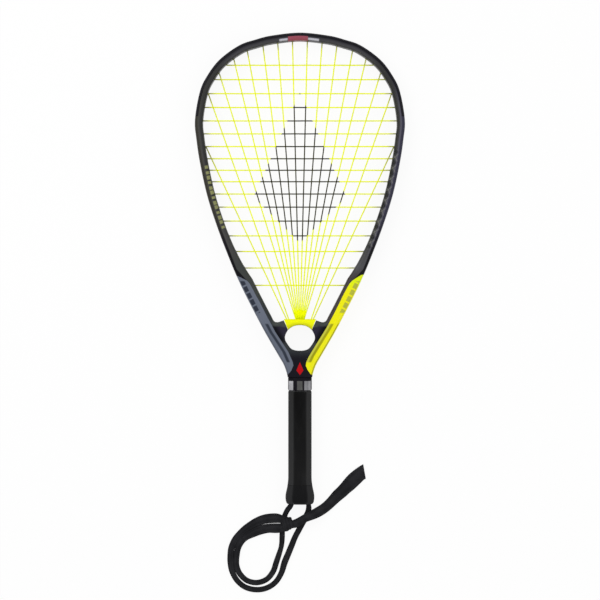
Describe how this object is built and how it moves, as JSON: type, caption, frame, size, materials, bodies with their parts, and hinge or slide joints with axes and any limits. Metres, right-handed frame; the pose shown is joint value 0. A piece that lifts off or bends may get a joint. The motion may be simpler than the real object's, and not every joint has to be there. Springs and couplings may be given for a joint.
{
  "type": "racquetball racket",
  "caption": "Racquetball racket with a teardrop head, crown bumper, strung face, bridge with a window, smooth rubber grip, flared butt cap and a knotted wrist lace.",
  "frame": {"origin": "on the surface that the racket lies on, under the middle of its length and width", "axes": "+Y from the butt to the tip of the head, +X to the right seen from the front, +Z out of the front face of the strings"},
  "size_m": [0.249, 0.6645, 0.027],
  "materials": {
    "graphite": "satin moulded carbon fibre with painted panels",
    "nylon": "moulded nylon, satin",
    "yellow_nylon": "moulded nylon, bright yellow",
    "string": "smooth extruded string",
    "foam": "rigid closed-cell foam",
    "rubber": "smooth matt sleeve",
    "cap_plastic": "moulded, satin",
    "collar_rubber": "smooth, satin",
    "staple_steel": "plain wire",
    "lace": "woven flat lace"
  },
  "bodies": {
    "root": {"frame": "graphite", "crown_bumper": "nylon", "right_grommet_strip": "nylon", "left_grommet_strip": "nylon", "bridge_grommet": "yellow_nylon", "main_string": "string", "cross_string": "string", "front_pallet": "foam", "back_pallet": "foam", "grip": "rubber", "grip_collar": "collar_rubber", "butt_cap": "cap_plastic", "front_staple": "staple_steel", "back_staple": "staple_steel", "lace_inner_bend": "lace", "left_lace": "lace", "right_lace": "lace", "lace_knot": "lace", "lace_tail": "lace"}
  },
  "joints": []
}
